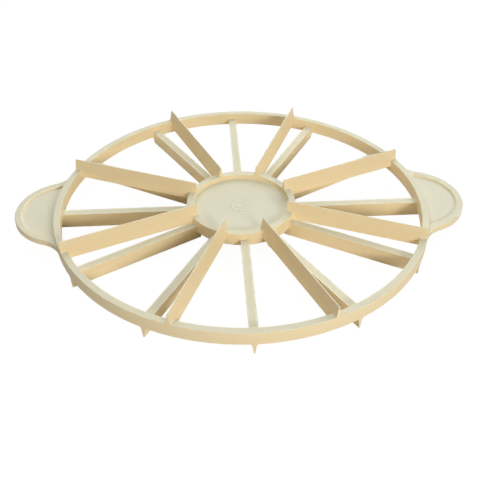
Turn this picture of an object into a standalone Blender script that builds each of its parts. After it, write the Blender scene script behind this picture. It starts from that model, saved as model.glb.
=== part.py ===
# Two-sided cake portion marker: one rigid ivory moulding, drawn as its ring, hub, blades and handles.
# Metres, +Z up. The origin is on the axis, at the level of the lower cutting edges. The handles lie on +X and -X.
import math

import bmesh
import bpy

# Driving dimensions
RING_DIAMETER = 0.270
RING_WALL = 0.0049
RING_HEIGHT = 0.0098
HUB_DIAMETER = 0.0794
HUB_WALL = 0.0049
HUB_HEIGHT = 0.0098
DISC_THICKNESS = 0.0016
GATE_RING_RADII = (0.0036, 0.0074)
GATE_RING_WIDTH = 0.0009
GATE_RING_HEIGHT = 0.0002
UPPER_SLICES = 8
LOWER_SLICES = 12
BLADE_REACH = 0.0130
BLADE_ROOT = 0.0050
BLADE_EDGE = 0.0007
LOBE_RADIUS = 0.0368
LOBE_INSET = 0.0083
LOBE_FILLET = 0.0220
HANDLE_RIM_WIDTH = 0.0049
HANDLE_RIM_HEIGHT = 0.0049
HANDLE_PLATE_THICKNESS = 0.0016
GAP = 0.0003

# The first upper blade stands half a slice round from the handle axis, the first lower one on it.
UPPER_START = math.pi / UPPER_SLICES
LOWER_START = 0.0

# A blade's middle falls on a corner of both rings, since the blade angles are multiples of 7.5 degrees.
RING_SEGMENTS = 144
HUB_SEGMENTS = 96
ARC_STEP = math.radians(5)
SHARP_ANGLE = math.radians(35)

IVORY = (0.78, 0.68, 0.47)
ROUGHNESS = 0.42

# Levels and radii that follow from the driving dimensions
parting = BLADE_REACH
ring_outer = RING_DIAMETER / 2
ring_inner = ring_outer - RING_WALL
hub_outer = HUB_DIAMETER / 2
hub_inner = hub_outer - HUB_WALL


def clear_scene():
    for obj in list(bpy.data.objects):
        bpy.data.objects.remove(obj, do_unlink=True)


def plastic(name):
    material = bpy.data.materials.new(name)
    material.use_nodes = True
    shader = material.node_tree.nodes["Principled BSDF"]
    shader.inputs["Base Color"].default_value = (*IVORY, 1.0)
    shader.inputs["Roughness"].default_value = ROUGHNESS
    shader.inputs["Metallic"].default_value = 0.0
    return material


def add_object(name, bm, parent, round_piece=False, turn=0.0):
    """The bmesh as a named object with its own material, turned about the axis of the marker."""
    bmesh.ops.recalc_face_normals(bm, faces=bm.faces)
    mesh = bpy.data.meshes.new(name)
    bm.to_mesh(mesh)
    bm.free()
    if round_piece:
        mesh.shade_smooth()
        mesh.set_sharp_from_angle(angle=SHARP_ANGLE)
    mesh.materials.append(plastic(name + "_plastic"))
    obj = bpy.data.objects.new(name, mesh)
    bpy.context.scene.collection.objects.link(obj)
    obj.rotation_euler.z = turn
    obj.parent = parent
    return obj


def turned(profile, segments):
    """A profile of (radius, height) points turned about Z. A point on the axis becomes one pole."""
    bm = bmesh.new()
    verts = [bm.verts.new((radius, 0, height)) for radius, height in profile]
    edges = [bm.edges.new(pair) for pair in zip(verts, verts[1:] + verts[:1])]
    if profile[0][0] == 0:
        bm.edges.remove(edges.pop())
    bmesh.ops.spin(
        bm,
        geom=verts + edges,
        cent=(0, 0, 0),
        axis=(0, 0, 1),
        angle=2 * math.pi,
        steps=segments,
        use_merge=True,
    )
    bmesh.ops.remove_doubles(bm, verts=bm.verts, dist=1e-6)
    return bm


def slab(outline, thickness):
    """A plan outline raised to a thickness, centred on the parting level."""
    bm = bmesh.new()
    face = bm.faces.new([bm.verts.new((x, y, parting - thickness / 2)) for x, y in outline])
    raised = bmesh.ops.extrude_face_region(bm, geom=[face])
    top = [item for item in raised["geom"] if isinstance(item, bmesh.types.BMVert)]
    bmesh.ops.translate(bm, verts=top, vec=(0, 0, thickness))
    return bm


def arc(centre, radius, start, end):
    """Points along an arc, both ends included. It runs clockwise when end is below start."""
    steps = max(2, math.ceil(abs(end - start) / ARC_STEP))
    angles = [start + (end - start) * i / steps for i in range(steps + 1)]
    return [(centre[0] + radius * math.cos(a), centre[1] + radius * math.sin(a)) for a in angles]


def circles_meet(distance, radius_a, radius_b):
    """Where a circle at the origin meets one at x = distance: the angle seen from each centre."""
    x = (distance**2 + radius_a**2 - radius_b**2) / (2 * distance)
    y = math.sqrt(radius_a**2 - x**2)
    return math.atan2(y, x), math.atan2(y, x - distance)


def band(outer, wall, height, segments):
    """A plain ring of rectangular section, centred on the parting level."""
    low = parting - height / 2
    high = parting + height / 2
    inner = outer - wall
    return turned([(outer, low), (outer, high), (inner, high), (inner, low)], segments)


def disc():
    """The web inside the hub, with the low rings of the gate mark on its upper face."""
    rim = hub_inner - GAP
    low = parting - DISC_THICKNESS / 2
    high = parting + DISC_THICKNESS / 2
    profile = [(0, high)]
    for radius in GATE_RING_RADII:
        inside = radius - GATE_RING_WIDTH / 2
        outside = radius + GATE_RING_WIDTH / 2
        profile.append((inside, high))
        profile.append((radius, high + GATE_RING_HEIGHT))
        profile.append((outside, high))
    profile += [(rim, high), (rim, low), (0, low)]
    return turned(profile, HUB_SEGMENTS)


def blade(side):
    """A wedge along +X with its root at the parting level. side is 1 for an upper blade and -1 for a lower one.
    Its root stands between the hub and the ring, and its cutting part runs over both."""
    root = GAP / 2
    over_hub = HUB_HEIGHT / 2 + GAP
    over_ring = RING_HEIGHT / 2 + GAP
    outline = [
        (hub_outer + GAP, root),
        (ring_inner - GAP, root),
        (ring_inner - GAP, over_ring),
        (ring_outer, over_ring),
        (ring_outer, BLADE_REACH),
        (hub_inner, BLADE_REACH),
        (hub_inner, over_hub),
        (hub_outer + GAP, over_hub),
    ]
    bm = bmesh.new()
    sides = []
    for flank in (1, -1):
        verts = []
        for x, rise in outline:
            half_width = (BLADE_ROOT + (BLADE_EDGE - BLADE_ROOT) * rise / BLADE_REACH) / 2
            verts.append(bm.verts.new((x, flank * half_width, parting + side * rise)))
        bm.faces.new(verts)
        sides += [edge for edge in bm.edges if edge.is_boundary and edge not in sides]
    bmesh.ops.bridge_loops(bm, edges=sides)
    return bm


def handle_rim():
    """The raised edge of a handle: a lobe outside the ring, run into it with a hollow fillet on each side."""
    seat = ring_outer + GAP
    lobe_x = ring_outer - LOBE_INSET
    fillet_turn, fillet_back = circles_meet(lobe_x, ring_outer + LOBE_FILLET, LOBE_RADIUS + LOBE_FILLET)
    fillet = (
        (ring_outer + LOBE_FILLET) * math.cos(fillet_turn),
        (ring_outer + LOBE_FILLET) * math.sin(fillet_turn),
    )
    # The fillet touches the ring itself, so it is stopped where it crosses the seat, a gap further out.
    to_ring = math.atan2(-fillet[1], -fillet[0])
    to_lobe = math.atan2(-fillet[1], lobe_x - fillet[0])
    foot, foot_back = circles_meet(ring_outer + LOBE_FILLET, seat, LOBE_FILLET)
    seat_end = fillet_turn - foot
    fillet_end = to_ring + (math.pi - foot_back)
    inside_radius = LOBE_RADIUS - HANDLE_RIM_WIDTH
    inside_seat, inside_turn = circles_meet(lobe_x, seat, inside_radius)

    half = arc((lobe_x, 0), inside_radius, 0, inside_turn)
    half += arc((0, 0), seat, inside_seat, seat_end)[1:]
    fillet_arc = arc(fillet, LOBE_FILLET, fillet_end, to_lobe)
    half += fillet_arc[1:]
    half += arc((lobe_x, 0), LOBE_RADIUS, fillet_back, 0)[1:]
    # half runs from the inside of the tip round to the outside of the tip, on the +Y side.
    other_half = [(x, -y) for x, y in reversed(half[1:-1])]
    return slab(half + other_half, HANDLE_RIM_HEIGHT)


def handle_plate():
    """The thin web that fills the lobe inside its rim, with its inner edge along the ring."""
    seat = ring_outer + GAP
    lobe_x = ring_outer - LOBE_INSET
    radius = LOBE_RADIUS - HANDLE_RIM_WIDTH - GAP
    seat_turn, lobe_turn = circles_meet(lobe_x, seat, radius)
    outline = arc((lobe_x, 0), radius, -lobe_turn, lobe_turn)
    outline += arc((0, 0), seat, seat_turn, -seat_turn)[1:-1]
    return slab(outline, HANDLE_PLATE_THICKNESS)


def main():
    clear_scene()
    marker = bpy.data.objects.new("cake_marker", None)
    bpy.context.scene.collection.objects.link(marker)

    add_object("outer_ring", band(ring_outer, RING_WALL, RING_HEIGHT, RING_SEGMENTS), marker, True)
    add_object("hub_collar", band(hub_outer, HUB_WALL, HUB_HEIGHT, HUB_SEGMENTS), marker, True)
    add_object("hub_disc", disc(), marker, True)

    for name, turn in (("handle_right", 0.0), ("handle_left", math.pi)):
        add_object(name + "_plate", handle_plate(), marker, True, turn)
        add_object(name + "_rim", handle_rim(), marker, True, turn)

    for count, start, side, name in (
        (UPPER_SLICES, UPPER_START, 1, "upper_blade"),
        (LOWER_SLICES, LOWER_START, -1, "lower_blade"),
    ):
        for i in range(count):
            turn = start + 2 * math.pi * i / count
            add_object(f"{name}_{i + 1}", blade(side), marker, False, turn)


main()
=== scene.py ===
import math

import bmesh
import bpy
from mathutils import Euler, Matrix, Vector


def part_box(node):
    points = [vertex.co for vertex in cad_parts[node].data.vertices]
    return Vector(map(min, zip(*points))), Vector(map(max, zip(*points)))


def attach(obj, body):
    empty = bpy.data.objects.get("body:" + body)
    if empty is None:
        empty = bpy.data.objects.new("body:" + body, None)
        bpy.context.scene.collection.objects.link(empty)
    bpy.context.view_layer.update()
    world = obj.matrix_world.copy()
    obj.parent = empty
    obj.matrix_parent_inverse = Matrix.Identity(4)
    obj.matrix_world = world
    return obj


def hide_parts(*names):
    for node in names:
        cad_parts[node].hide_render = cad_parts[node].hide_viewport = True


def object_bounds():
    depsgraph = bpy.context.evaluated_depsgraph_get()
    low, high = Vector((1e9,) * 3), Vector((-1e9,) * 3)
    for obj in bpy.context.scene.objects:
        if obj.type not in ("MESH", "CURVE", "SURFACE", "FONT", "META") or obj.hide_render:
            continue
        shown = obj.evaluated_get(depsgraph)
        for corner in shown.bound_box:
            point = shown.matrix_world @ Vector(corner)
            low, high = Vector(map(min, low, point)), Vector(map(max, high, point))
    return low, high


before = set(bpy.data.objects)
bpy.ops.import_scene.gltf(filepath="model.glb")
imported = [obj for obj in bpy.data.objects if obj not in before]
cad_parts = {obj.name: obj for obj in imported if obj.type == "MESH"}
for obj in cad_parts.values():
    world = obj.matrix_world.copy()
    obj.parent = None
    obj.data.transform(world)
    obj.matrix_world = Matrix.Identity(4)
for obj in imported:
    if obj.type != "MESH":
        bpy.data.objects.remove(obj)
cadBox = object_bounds()

# Levels and radii that the pieces share, read from the CAD solids. All lengths are in metres.
ringLow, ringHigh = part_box("outer_ring")
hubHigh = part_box("hub_collar")[1]
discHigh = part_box("hub_disc")[1]
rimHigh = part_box("handle_right_rim")[1]
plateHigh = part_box("handle_right_plate")[1]
fitGap = 0.0003  # the CAD leaves this between neighbours
sameSpot = 0.000005  # nearer than this, two points count as one
levelFace = 0.9  # a face whose normal is more upright than this lies level
flatShading = 90  # how far the large faces keep their own shading against the small rounds
partingLevel = (ringLow.z + ringHigh.z) / 2
bladeReach = cadBox[1].z - partingLevel
ringOuter = ringHigh.x
ringHalf = ringHigh.z - partingLevel
hubOuter = hubHigh.x
hubHalf = hubHigh.z - partingLevel
hubInner = discHigh.x + fitGap
rimHalf = rimHigh.z - partingLevel
plateHalf = plateHigh.z - partingLevel
wallThickness = hubOuter - hubInner  # ring, hub and handle rims share one wall
ringInner = ringOuter - wallThickness
print("frame loaded, parting level", round(partingLevel * 1000, 2), "mm")


# helpers

def pushToMesh(bm, name, material):
    bmesh.ops.recalc_face_normals(bm, faces=bm.faces)
    mesh = bpy.data.meshes.new(name)
    bm.to_mesh(mesh)
    bm.free()
    mesh.shade_smooth()
    mesh.materials.append(material)
    obj = bpy.data.objects.new(name, mesh)
    bpy.context.scene.collection.objects.link(obj)
    return obj


def finishPiece(bm, name, node, material):
    obj = pushToMesh(bm, name, material)
    weighted = obj.modifiers.new("flatFaceShading", "WEIGHTED_NORMAL")
    weighted.mode = "FACE_AREA"
    weighted.weight = flatShading
    weighted.keep_sharp = False
    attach(obj, "root")
    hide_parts(node)
    return obj


def roundEdges(bm, edges, width, steps):
    # The new round is marked in the corner attribute, which the plastic reads for the painted highlight
    # on its corners.
    corner = bm.faces.layers.float.get("corner") or bm.faces.layers.float.new("corner")
    rounded = bmesh.ops.bevel(
        bm, geom=edges, offset=width, offset_type="OFFSET", affect="EDGES",
        segments=steps, profile=0.5, material=-1, clamp_overlap=True,
    )
    for f in rounded["faces"]:
        f[corner] = 1.0


def spinProfile(points, segments):
    bm = bmesh.new()
    verts = [bm.verts.new((radius, 0, height)) for radius, height in points]
    edges = [bm.edges.new(pair) for pair in zip(verts, verts[1:] + verts[:1])]
    if points[0][0] == 0:
        bm.edges.remove(edges.pop())  # the line along the axis would make a wall inside
    bmesh.ops.spin(
        bm, geom=verts + edges, cent=(0, 0, 0), axis=(0, 0, 1), dvec=(0, 0, 0),
        angle=2 * math.pi, steps=segments, use_merge=True,
    )
    bmesh.ops.remove_doubles(bm, verts=bm.verts, dist=sameSpot)
    bmesh.ops.translate(bm, verts=bm.verts, vec=(0, 0, partingLevel))
    return bm


def filletSteps(radius, count):
    # Distance from the wall and height above the floor, for points down a hollow quarter round.
    turns = [math.pi / 2 * i / count for i in range(count + 1)]
    return [(radius * (1 - math.cos(t)), radius * (1 - math.sin(t))) for t in turns]


def arcPoints(centre, radius, start, end, step):
    count = max(2, math.ceil(abs(end - start) / math.radians(step)))
    turns = [start + (end - start) * i / count for i in range(count + 1)]
    return [(centre[0] + radius * math.cos(t), centre[1] + radius * math.sin(t)) for t in turns]


def circlesMeet(distance, radiusA, radiusB):
    # Where a circle at the origin meets one at x = distance: the angle seen from each centre.
    x = (distance**2 + radiusA**2 - radiusB**2) / (2 * distance)
    y = math.sqrt(radiusA**2 - x**2)
    return math.atan2(y, x), math.atan2(y, x - distance)


# camera, floor and light

viewSettings = {
    "azimuth": -3.45,  # the angles are in degrees
    "elevation": 35.32,
    "distance": 0.5512,
    "lens": 56.51,
    "sensor": 36,
    "clip": (0.01, 20),
    "pan": 0.11,
    "tilt": 2.97,
    "roll": -0.07,
}


def wayOut(azimuth, elevation):
    # The way out from the marker at these degrees. Azimuth 0 is in front of it and 90 is on its right.
    turn = math.radians(azimuth)
    rise = math.radians(elevation)
    return Vector((math.sin(turn) * math.cos(rise), -math.cos(turn) * math.cos(rise), math.sin(rise)))


def makeCamera(s):
    data = bpy.data.cameras.new("studioCamera")
    data.lens = s["lens"]
    data.sensor_width = s["sensor"]
    data.clip_start, data.clip_end = s["clip"]
    camera = bpy.data.objects.new("studioCamera", data)
    camera.location = Vector((0, 0, ringHigh.z)) + wayOut(s["azimuth"], s["elevation"]) * s["distance"]
    down = math.radians(90 - s["elevation"] - s["tilt"])
    aim = Euler((down, 0, math.radians(s["azimuth"] + s["pan"]))).to_matrix()
    camera.rotation_euler = (aim @ Matrix.Rotation(math.radians(s["roll"]), 3, "Z")).to_euler()
    bpy.context.scene.collection.objects.link(camera)
    bpy.context.scene.camera = camera


lightSettings = {
    "softboxes": {
        "key": {
            "azimuth": 25, "elevation": 22, "size": 0.35, "power": 7.9, "color": (1.0, 0.99, 0.98),
        },
        "back": {
            "azimuth": 180, "elevation": 35, "size": 1.4, "power": 6.9, "color": (0.97, 1.0, 1.0),
        },
        "backRight": {
            "azimuth": 135, "elevation": 35, "size": 1.4, "power": 6.4, "color": (0.99, 1.0, 1.0),
        },
        "highLeft": {
            "azimuth": 225, "elevation": 62, "size": 0.8, "power": 3.2, "color": (0.98, 1.0, 0.99),
        },
        "frontLeft": {
            "azimuth": 315, "elevation": 62, "size": 0.8, "power": 2.6, "color": (1.0, 0.98, 0.93),
        },
    },
    "distance": 1.3,  # from the marker to each softbox
    "sky": (1.0, 1.0, 1.0),
    "skyStrength": 0.105,
    "bounce": (0.70, 0.69, 0.68),
    "glow": 0.96,
    "glowShade": 0.07,  # how much of a shadow the eye still sees on the table
    "floorSize": 12.0,
}


def makeSoftbox(name, s, distance):
    data = bpy.data.lights.new(name, "AREA")
    data.shape = "DISK"
    data.size = s["size"]
    data.energy = s["power"]
    data.color = s["color"]
    light = bpy.data.objects.new(name, data)
    way = wayOut(s["azimuth"], s["elevation"])
    light.location = way * distance
    light.rotation_euler = way.to_track_quat("Z", "Y").to_euler()
    bpy.context.scene.collection.objects.link(light)


def makeSky(s):
    # The eye sees a white sky, and the marker is lit by a much dimmer one.
    world = bpy.data.worlds.new("studioSky")
    world.use_nodes = True
    nodes, links = world.node_tree.nodes, world.node_tree.links
    sky = nodes["Background"]
    sky.inputs["Color"].default_value = (*s["sky"], 1)
    sky.inputs["Strength"].default_value = s["skyStrength"]
    seen = nodes.new("ShaderNodeBackground")
    seen.inputs["Color"].default_value = (1, 1, 1, 1)
    seen.inputs["Strength"].default_value = 1.0
    path = nodes.new("ShaderNodeLightPath")
    pick = nodes.new("ShaderNodeMixShader")
    links.new(path.outputs["Is Camera Ray"], pick.inputs[0])
    links.new(sky.outputs[0], pick.inputs[1])
    links.new(seen.outputs[0], pick.inputs[2])
    links.new(pick.outputs[0], nodes["World Output"].inputs["Surface"])
    bpy.context.scene.world = world


def makeFloor(s):
    # A pale table that glows towards the eye, so its shadows stay faint, and sends up a soft bounce.
    paint = bpy.data.materials.new("floorPaint")
    paint.use_nodes = True
    nodes, links = paint.node_tree.nodes, paint.node_tree.links
    nodes.remove(nodes["Principled BSDF"])
    bounce = nodes.new("ShaderNodeBsdfDiffuse")
    bounce.inputs["Color"].default_value = (*s["bounce"], 1)
    shade = nodes.new("ShaderNodeBsdfDiffuse")
    shade.inputs["Color"].default_value = (s["glowShade"],) * 3 + (1,)
    glow = nodes.new("ShaderNodeEmission")
    glow.inputs["Color"].default_value = (1, 1, 1, 1)
    glow.inputs["Strength"].default_value = s["glow"]
    seen = nodes.new("ShaderNodeAddShader")
    path = nodes.new("ShaderNodeLightPath")
    pick = nodes.new("ShaderNodeMixShader")
    links.new(shade.outputs[0], seen.inputs[0])
    links.new(glow.outputs[0], seen.inputs[1])
    links.new(path.outputs["Is Camera Ray"], pick.inputs[0])
    links.new(bounce.outputs[0], pick.inputs[1])
    links.new(seen.outputs[0], pick.inputs[2])
    links.new(pick.outputs[0], nodes["Material Output"].inputs["Surface"])
    bm = bmesh.new()
    bmesh.ops.create_grid(bm, x_segments=1, y_segments=1, size=s["floorSize"] / 2)
    pushToMesh(bm, "floor", paint)


def makeStudio(s):
    for name, softbox in s["softboxes"].items():
        makeSoftbox(name + "Softbox", softbox, s["distance"])
    makeSky(s)
    makeFloor(s)
    bpy.context.scene.view_settings.view_transform = "Standard"


makeCamera(viewSettings)
makeStudio(lightSettings)
print("camera, floor and lights are in place")


# material

# color is the plastic's own warm tone, which the sides keep. The top sheen colour is painted sheen on
# faces that look up, and the edge highlight colour is a painted highlight on rounded corners.
webPlastic = {
    "color": (0.965, 0.79, 0.48),
    "topSheenColor": (0.73, 0.70, 0.54),
    "cloudColor": (0.68, 0.705, 0.555),
    "cloud": 0.55,
    "edgeHighlightColor": (0.92, 0.89, 0.70),
    "edgeHighlightAmount": 0.75,
    "roughness": 0.44,
    "grainSize": 0.00045,
    "grainDepth": 0.000010,
}
wallPlastic = dict(
    webPlastic, topSheenColor=(0.725, 0.69, 0.505), cloud=0.10, roughness=0.40, grainDepth=0.000007,
)
bladePlastic = dict(wallPlastic, roughness=0.42, grainDepth=0.000008)
sharedEffects = {
    "topSheenStart": 0.55,  # the painted top sheen begins on faces this upright
    "topSheenFull": 0.92,  # and is full on faces this upright
    "topSheenPatch": 0.030,
    "topSheenPatchDepth": 0.12,
    "topSheenPatchEdge": (0.40, 0.68),
    "topSheenPatchNoise": (3, 0.55),
    "cloudSize": 0.022,
    "cloudEdge": (0.46, 0.66),
    "cloudNoise": (4, 0.6),
    "grainNoise": (2, 0.5),
    "waveSize": 0.014,
    "waveHeight": 4.0,  # against a grain height of 1
    "edgeHighlightBreak": 0.006,
    "edgeHighlightRamp": (0.30, 0.62),
    "edgeHighlightNoise": (3, 0.6),
    "unevenGloss": 0.16,
    "topSheenMatte": 0.06,
    "edgeHighlightGloss": 0.10,
}


def newEffect(name, inputs, outputs):
    # A node group with named sockets. Gives back the tree, its incoming sockets and its outgoing ones.
    tree = bpy.data.node_groups.new(name, "ShaderNodeTree")
    for label, kind, value in inputs:
        socket = tree.interface.new_socket(name=label, in_out="INPUT", socket_type="NodeSocket" + kind)
        if value is not None:
            socket.default_value = value
    for label, kind in outputs:
        tree.interface.new_socket(name=label, in_out="OUTPUT", socket_type="NodeSocket" + kind)
    return tree, tree.nodes.new("NodeGroupInput").outputs, tree.nodes.new("NodeGroupOutput").inputs


def plugIn(tree, value, socket):
    if isinstance(value, bpy.types.NodeSocket):
        tree.links.new(value, socket)
    elif isinstance(value, tuple):
        socket.default_value = (*value, 1)
    else:
        socket.default_value = value


def addMath(tree, operation, *values):
    node = tree.nodes.new("ShaderNodeMath")
    node.operation = operation
    for value, socket in zip(values, node.inputs):
        plugIn(tree, value, socket)
    return node.outputs[0]


def addRamp(tree, value, low, high):
    node = tree.nodes.new("ShaderNodeMapRange")
    node.interpolation_type = "SMOOTHSTEP"
    for name, item in (("Value", value), ("From Min", low), ("From Max", high)):
        plugIn(tree, item, node.inputs[name])
    return node.outputs["Result"]


def addColorMix(tree, factor, first, second):
    node = tree.nodes.new("ShaderNodeMix")
    node.data_type = "RGBA"
    for socket, value in ((node.inputs[0], factor), (node.inputs[6], first), (node.inputs[7], second)):
        plugIn(tree, value, socket)
    return node.outputs[2]


def addNoise(tree, place, size, detail, roughness):
    # size is the width of one patch in metres. detail and roughness say how finely it breaks up.
    node = tree.nodes.new("ShaderNodeTexNoise")
    tree.links.new(place, node.inputs["Vector"])
    plugIn(tree, addMath(tree, "DIVIDE", 1.0, size), node.inputs["Scale"])
    node.inputs["Detail"].default_value = detail
    node.inputs["Roughness"].default_value = roughness
    return node.outputs[0]


def makeTopSheenEffect(s):
    # Painted sheen: faces that look up are painted paler and cooler, the way the light from above shows
    # them, thinner in broad patches.
    tree, start, end = newEffect(
        "paintedTopSheen",
        [
            ("Position", "Vector", None), ("Facing", "Vector", None), ("Start", "Float", 0.5),
            ("Full", "Float", 0.9), ("Patch Size", "Float", 0.03), ("Patch Depth", "Float", 0.2),
        ],
        [("Mask", "Float")],
    )
    parts = tree.nodes.new("ShaderNodeSeparateXYZ")
    tree.links.new(start["Facing"], parts.inputs[0])
    lying = addRamp(tree, parts.outputs["Z"], start["Start"], start["Full"])
    patch = addNoise(tree, start["Position"], start["Patch Size"], *s["topSheenPatchNoise"])
    patch = addRamp(tree, patch, *s["topSheenPatchEdge"])
    thin = addMath(tree, "MULTIPLY", patch, start["Patch Depth"])
    tree.links.new(addMath(tree, "MULTIPLY", lying, addMath(tree, "SUBTRACT", 1.0, thin)), end["Mask"])
    return tree


def makeCloudEffect(s):
    # Faint cloudy patches where the melt flowed unevenly.
    tree, start, end = newEffect(
        "flowClouds",
        [("Position", "Vector", None), ("Patch Size", "Float", 0.02), ("Strength", "Float", 0.3)],
        [("Mask", "Float")],
    )
    cloud = addNoise(tree, start["Position"], start["Patch Size"], *s["cloudNoise"])
    cloud = addRamp(tree, cloud, *s["cloudEdge"])
    tree.links.new(addMath(tree, "MULTIPLY", cloud, start["Strength"]), end["Mask"])
    return tree


def makeGrainEffect(s):
    # The fine satin of the mould wall over slow sink waves: a height for bump and a mask for roughness.
    tree, start, end = newEffect(
        "mouldGrain",
        [("Position", "Vector", None), ("Grain Size", "Float", 0.0004), ("Wave Size", "Float", 0.014)],
        [("Height", "Float"), ("Mask", "Float")],
    )
    fine = addNoise(tree, start["Position"], start["Grain Size"], *s["grainNoise"])
    wave = addNoise(tree, start["Position"], start["Wave Size"], *s["grainNoise"])
    tree.links.new(addMath(tree, "MULTIPLY_ADD", wave, s["waveHeight"], fine), end["Height"])
    both = addMath(tree, "ADD", fine, wave)
    tree.links.new(addMath(tree, "DIVIDE", both, 2.0), end["Mask"])
    return tree


def makeEdgeHighlightEffect(s):
    # Painted highlight: rounded corners painted pale and made glossier, broken up along their length.
    tree, start, end = newEffect(
        "paintedEdgeHighlight",
        [("Position", "Vector", None), ("Corner", "Float", 0.0), ("Break Size", "Float", 0.006)],
        [("Mask", "Float")],
    )
    broken = addNoise(tree, start["Position"], start["Break Size"], *s["edgeHighlightNoise"])
    broken = addRamp(tree, broken, *s["edgeHighlightRamp"])
    tree.links.new(addMath(tree, "MULTIPLY", start["Corner"], broken), end["Mask"])
    return tree


topSheenEffect = makeTopSheenEffect(sharedEffects)
cloudEffect = makeCloudEffect(sharedEffects)
grainEffect = makeGrainEffect(sharedEffects)
edgeHighlightEffect = makeEdgeHighlightEffect(sharedEffects)


def addEffect(tree, effect, values):
    node = tree.nodes.new("ShaderNodeGroup")
    node.node_tree = effect
    for label, value in values.items():
        plugIn(tree, value, node.inputs[label])
    return node.outputs


def makePlastic(name, s, shared):
    material = bpy.data.materials.new(name)
    material.use_nodes = True
    tree = material.node_tree
    shader = tree.nodes["Principled BSDF"]
    place = tree.nodes.new("ShaderNodeTexCoord")
    where = place.outputs["Object"]
    corner = tree.nodes.new("ShaderNodeAttribute")
    corner.attribute_name = "corner"

    topSheen = addEffect(tree, topSheenEffect, {
        "Position": where, "Facing": place.outputs["Normal"],
        "Start": shared["topSheenStart"], "Full": shared["topSheenFull"],
        "Patch Size": shared["topSheenPatch"], "Patch Depth": shared["topSheenPatchDepth"],
    })["Mask"]
    cloud = addEffect(tree, cloudEffect, {
        "Position": where, "Patch Size": shared["cloudSize"], "Strength": s["cloud"],
    })["Mask"]
    edgeLit = addEffect(tree, edgeHighlightEffect, {
        "Position": where, "Corner": corner.outputs["Fac"], "Break Size": shared["edgeHighlightBreak"],
    })["Mask"]
    grain = addEffect(tree, grainEffect, {
        "Position": where, "Grain Size": s["grainSize"], "Wave Size": shared["waveSize"],
    })

    # Painted light: faces that look up get the paler, cooler painted sheen, and rounded corners get a
    # pale painted highlight.
    sheenTone = addColorMix(tree, cloud, s["topSheenColor"], s["cloudColor"])
    color = addColorMix(tree, topSheen, s["color"], sheenTone)
    color = addColorMix(tree, addMath(tree, "MULTIPLY", edgeLit, s["edgeHighlightAmount"]), color, s["edgeHighlightColor"])
    tree.links.new(color, shader.inputs["Base Color"])

    # The grain swings the roughness evenly about its value, the painted top sheen's mask raises it and
    # the painted edge highlight's mask lowers it.
    smoothest = s["roughness"] - shared["unevenGloss"] / 2
    rough = addMath(tree, "MULTIPLY_ADD", grain["Mask"], shared["unevenGloss"], smoothest)
    rough = addMath(tree, "MULTIPLY_ADD", topSheen, shared["topSheenMatte"], rough)
    rough = addMath(tree, "MULTIPLY_ADD", edgeLit, -shared["edgeHighlightGloss"], rough)
    tree.links.new(rough, shader.inputs["Roughness"])

    bump = tree.nodes.new("ShaderNodeBump")
    bump.inputs["Distance"].default_value = s["grainDepth"]
    tree.links.new(grain["Height"], bump.inputs["Height"])
    tree.links.new(bump.outputs["Normal"], shader.inputs["Normal"])
    return material


webIvory = makePlastic("webIvory", webPlastic, sharedEffects)
wallIvory = makePlastic("wallIvory", wallPlastic, sharedEffects)
bladeIvory = makePlastic("bladeIvory", bladePlastic, sharedEffects)
print("plastic mixed")


# outer ring and hub collar

# draft is how far a wall leans in from the parting line to its rim.
ringSettings = {"draft": 0.00006, "corner": 0.00030, "cornerSteps": 3, "segments": 288}
collarSettings = {"draft": 0.00006, "corner": 0.00030, "cornerSteps": 3, "segments": 144}


def makeBand(name, node, outer, inner, half, s):
    # A ring that is widest at the parting line, so that both halves of the mould draw off it.
    slope = s["draft"]
    bm = spinProfile(
        [
            (outer, 0), (outer - slope, half), (inner + slope, half),
            (inner, 0), (inner + slope, -half), (outer - slope, -half),
        ],
        s["segments"],
    )
    corners = [
        e for e in bm.edges
        if abs(e.verts[0].co.z - e.verts[1].co.z) < sameSpot
        and abs(abs(e.verts[0].co.z - partingLevel) - half) < sameSpot
        and abs(e.verts[0].co.xy.length - e.verts[1].co.xy.length) < sameSpot
    ]
    roundEdges(bm, corners, s["corner"], s["cornerSteps"])
    return finishPiece(bm, name, node, wallIvory)


makeBand("outerRing", "outer_ring", ringOuter, ringInner, ringHalf, ringSettings)
makeBand("hubCollar", "hub_collar", hubOuter, hubInner, hubHalf, collarSettings)
print("ring and hub collar done")


# hub disc

discSettings = {
    "half": 0.0008,
    "fillet": 0.0006,
    "filletSteps": 4,
    "tuck": 0.0010,  # how far the disc runs into the collar
    "markRadii": (0.0036, 0.0074),
    "markWidth": 0.0015,
    "markHeight": 0.00032,
    "markSteps": 6,
    "segments": 144,
}


def makeDisc(s):
    # The web in the hub, with a hollow round up to the collar on both faces and low gate rings on top.
    top = [(0, s["half"])]
    for radius in s["markRadii"]:
        for i in range(s["markSteps"] + 1):
            along = i / s["markSteps"]
            swell = s["markHeight"] * math.sin(math.pi * along) ** 2
            top.append((radius + s["markWidth"] * (along - 0.5), s["half"] + swell))
    rise = [(hubInner - far, s["half"] + up) for far, up in filletSteps(s["fillet"], s["filletSteps"])]
    rise.reverse()
    tuck = hubInner + s["tuck"]
    top += rise + [(tuck, s["half"] + s["fillet"])]
    bottom = [(tuck, -s["half"] - s["fillet"])]
    bottom += [(x, -z) for x, z in reversed(rise)]
    bottom.append((0, -s["half"]))
    bm = spinProfile(top + bottom, s["segments"])
    return finishPiece(bm, "hubDisc", "hub_disc", webIvory)


makeDisc(discSettings)
print("hub disc done")


# blades

bladeSettings = {
    "root": 0.0050,
    "edge": 0.0007,
    "fillet": 0.0009,
    "filletSteps": 4,
    "tuck": 0.0012,  # how far the root runs into the ring and the collar
    "sink": 0.0007,  # how far the cutting part goes down into them
    "draft": 0.012,  # slope of the two ends
    "rootCorner": 0.00045,
    "rootCornerSteps": 4,
    "edgeCorner": 0.00012,
    "endCorner": 0.00018,
    "fineCornerSteps": 2,
    "endInset": 0.00003,  # keeps the outer end just inside the wall of the ring
}
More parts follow.
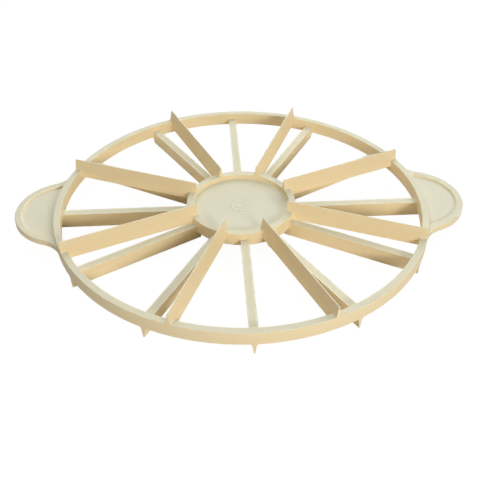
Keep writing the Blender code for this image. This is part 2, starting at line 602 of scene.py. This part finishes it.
# Each row: piece name, node name, number of blades, first one's angle, and 1 for up or -1 for down.
bladeRows = (
    ("upperBlade", "upper_blade", 8, 22.5, 1),
    ("lowerBlade", "lower_blade", 12, 0.0, -1),
)


def bladeSwell(x, rise, s):
    # How far a flank stands out in the fillets round the ring and the hub collar.
    radius = s["fillet"]
    toRing = math.hypot(max(ringInner - x, 0), max(rise - ringHalf, 0))
    toHub = math.hypot(max(x - hubOuter, 0), max(rise - hubHalf, 0))
    near = min(toRing, toHub)
    if near >= radius:
        return 0.0
    return radius - math.sqrt(radius**2 - (radius - near) ** 2)


def makeBlade(name, node, side, turn, s):
    # A wedge with its root at the parting level. side is 1 for an upper blade and -1 for a lower one.
    steps = [far for far, up in filletSteps(s["fillet"], s["filletSteps"])]
    columns = [hubInner, hubOuter - s["tuck"]] + [hubOuter + far for far in steps]
    columns += [ringInner - far for far in reversed(steps)] + [ringInner + s["tuck"], ringOuter]
    rows = sorted({0.0, ringHalf - s["sink"], bladeReach} | {ringHalf + far for far in steps})

    bm = bmesh.new()
    bmesh.ops.create_grid(bm, x_segments=len(columns) - 1, y_segments=len(rows) - 1, size=1)
    across = len(columns) - 1
    up = len(rows) - 1
    for v in bm.verts:
        x = columns[round((v.co.x + 1) / 2 * across)]
        rise = rows[round((v.co.y + 1) / 2 * up)]
        v.co = (x, 0, rise)
    notch = [
        f for f in bm.faces
        if f.calc_center_median().z < ringHalf - s["sink"]
        and not hubOuter - s["tuck"] < f.calc_center_median().x < ringInner + s["tuck"]
    ]
    bmesh.ops.delete(bm, geom=notch, context="FACES")
    near = list(bm.verts)
    extruded = bmesh.ops.extrude_face_region(bm, geom=list(bm.faces))["geom"]
    far = [v for v in extruded if isinstance(v, bmesh.types.BMVert)]
    for flank, verts in ((-1, near), (1, far)):
        for v in verts:
            x, rise = v.co.x, v.co.z
            wedge = (s["root"] + (s["edge"] - s["root"]) * rise / bladeReach) / 2
            v.co.y = flank * (wedge + bladeSwell(x, rise, s))

    def flankEdges(axis, places):
        # The edges that keep to one flank and lie at one of the places along an axis.
        return [
            e for e in bm.edges
            if any(all(abs(v.co[axis] - place) < sameSpot for v in e.verts) for place in places)
            and e.verts[0].co.y * e.verts[1].co.y > 0
        ]

    roundEdges(bm, flankEdges(2, (0.0,)), s["rootCorner"], s["rootCornerSteps"])
    roundEdges(bm, flankEdges(2, (bladeReach,)), s["edgeCorner"], s["fineCornerSteps"])
    roundEdges(bm, flankEdges(0, (hubInner, ringOuter)), s["endCorner"], s["fineCornerSteps"])
    for v in bm.verts:
        if v.co.x > ringInner + s["tuck"] + sameSpot:
            v.co.x -= s["draft"] * v.co.z + s["endInset"]
        if v.co.x < hubOuter - s["tuck"] - sameSpot:
            v.co.x += s["draft"] * v.co.z
    highlit = bm.faces.layers.float["corner"]
    for f in bm.faces:
        if f.calc_center_median().z > bladeReach - sameSpot:
            f[highlit] = 1.0  # the cutting edge gets the painted highlight too
    bmesh.ops.scale(bm, verts=bm.verts, vec=(1, 1, side))
    bmesh.ops.rotate(bm, verts=bm.verts, cent=(0, 0, 0), matrix=Matrix.Rotation(turn, 3, "Z"))
    bmesh.ops.translate(bm, verts=bm.verts, vec=(0, 0, partingLevel))
    return finishPiece(bm, name, node, bladeIvory)


for label, node, count, start, side in bladeRows:
    for number in range(1, count + 1):
        turn = math.radians(start + 360 * (number - 1) / count)
        makeBlade(f"{label}{number}", f"{node}_{number}", side, turn, bladeSettings)
    print(count, label, "pieces done")


# handles

handleSettings = {
    "lobe": 0.0368,
    "hollow": 0.022,
    "tuck": 0.0020,  # how far the rim runs into the ring
    "overrun": 0.02,  # how far it runs on inside the ring past the hollow, in radians
    "lip": 0.0002,  # how far the plate runs into the rim and the ring
    "outerCorner": 0.0007,
    "cornerSteps": 4,
    "plateFillet": 0.0006,
    "filletSteps": 5,
    "arcStep": 2.5,  # degrees from point to point of an outline
    "seatStep": 1.2,  # the same along the ring
}


def slabFrom(outline, half):
    bm = bmesh.new()
    face = bm.faces.new([bm.verts.new((x, y, partingLevel - half)) for x, y in outline])
    raised = bmesh.ops.extrude_face_region(bm, geom=[face])["geom"]
    top = [v for v in raised if isinstance(v, bmesh.types.BMVert)]
    bmesh.ops.translate(bm, verts=top, vec=(0, 0, 2 * half))
    bmesh.ops.recalc_face_normals(bm, faces=bm.faces)
    return bm


def makeHandleRim(name, node, turn, s):
    # The thick edge of a handle: a lobe that runs into the ring with a hollow round on each side.
    lobeX = rimHigh.x - s["lobe"]
    inside = s["lobe"] - wallThickness
    seat = ringOuter - s["tuck"]
    touch, hollowBack = circlesMeet(lobeX, ringOuter + s["hollow"], s["lobe"] + s["hollow"])
    hollow = ((ringOuter + s["hollow"]) * math.cos(touch), (ringOuter + s["hollow"]) * math.sin(touch))
    toLobe = math.atan2(-hollow[1], lobeX - hollow[0])
    toRing = math.atan2(-hollow[1], -hollow[0])
    seatTurn, insideTurn = circlesMeet(lobeX, seat, inside)
    half = arcPoints((lobeX, 0), inside, 0, insideTurn, s["arcStep"])
    half += arcPoints((0, 0), seat, seatTurn, touch + s["overrun"], s["arcStep"])[1:]
    half += arcPoints(hollow, s["hollow"], toRing, toLobe, s["arcStep"])
    half += arcPoints((lobeX, 0), s["lobe"], hollowBack, 0, s["arcStep"])[1:]
    outline = half + [(x, -y) for x, y in reversed(half[1:-1])]
    bm = slabFrom(outline, rimHalf)
    rims = [e for e in bm.edges if abs(e.verts[0].co.z - e.verts[1].co.z) < sameSpot]
    roundEdges(bm, rims, s["outerCorner"], s["cornerSteps"])
    bmesh.ops.rotate(bm, verts=bm.verts, cent=(0, 0, 0), matrix=Matrix.Rotation(turn, 3, "Z"))
    return finishPiece(bm, name, node, wallIvory)


def makeHandlePlate(name, node, turn, s):
    # The thin web of a handle, with a hollow round up to the rim and the ring on both faces.
    lobeX = rimHigh.x - s["lobe"]
    inside = s["lobe"] - wallThickness
    lip = s["lip"]
    seatTurn, lobeTurn = circlesMeet(lobeX, ringOuter - lip, inside + lip)
    outline = arcPoints((lobeX, 0), inside + lip, -lobeTurn, lobeTurn, s["arcStep"])
    outline += arcPoints((0, 0), ringOuter - lip, seatTurn, -seatTurn, s["seatStep"])[1:-1]
    bm = slabFrom(outline, plateHalf + s["plateFillet"])
    steps = filletSteps(s["plateFillet"], s["filletSteps"])
    caps = [f for f in bm.faces if abs(f.normal.z) > levelFace]
    for cap in caps:
        bmesh.ops.inset_region(bm, faces=[cap], thickness=lip, use_even_offset=True, use_boundary=True)
        for (far, high), (nextFar, nextHigh) in zip(steps, steps[1:]):
            bmesh.ops.inset_region(
                bm, faces=[cap], thickness=nextFar - far, use_even_offset=True, use_boundary=True,
            )
            sink = (nextHigh - high) * math.copysign(1, cap.normal.z)
            bmesh.ops.translate(bm, verts=cap.verts, vec=(0, 0, sink))
    bmesh.ops.rotate(bm, verts=bm.verts, cent=(0, 0, 0), matrix=Matrix.Rotation(turn, 3, "Z"))
    return finishPiece(bm, name, node, webIvory)


for word, turn in (("right", 0.0), ("left", math.pi)):
    makeHandleRim(f"{word}HandleRim", f"handle_{word}_rim", turn, handleSettings)
    makeHandlePlate(f"{word}HandlePlate", f"handle_{word}_plate", turn, handleSettings)
print("handles done")
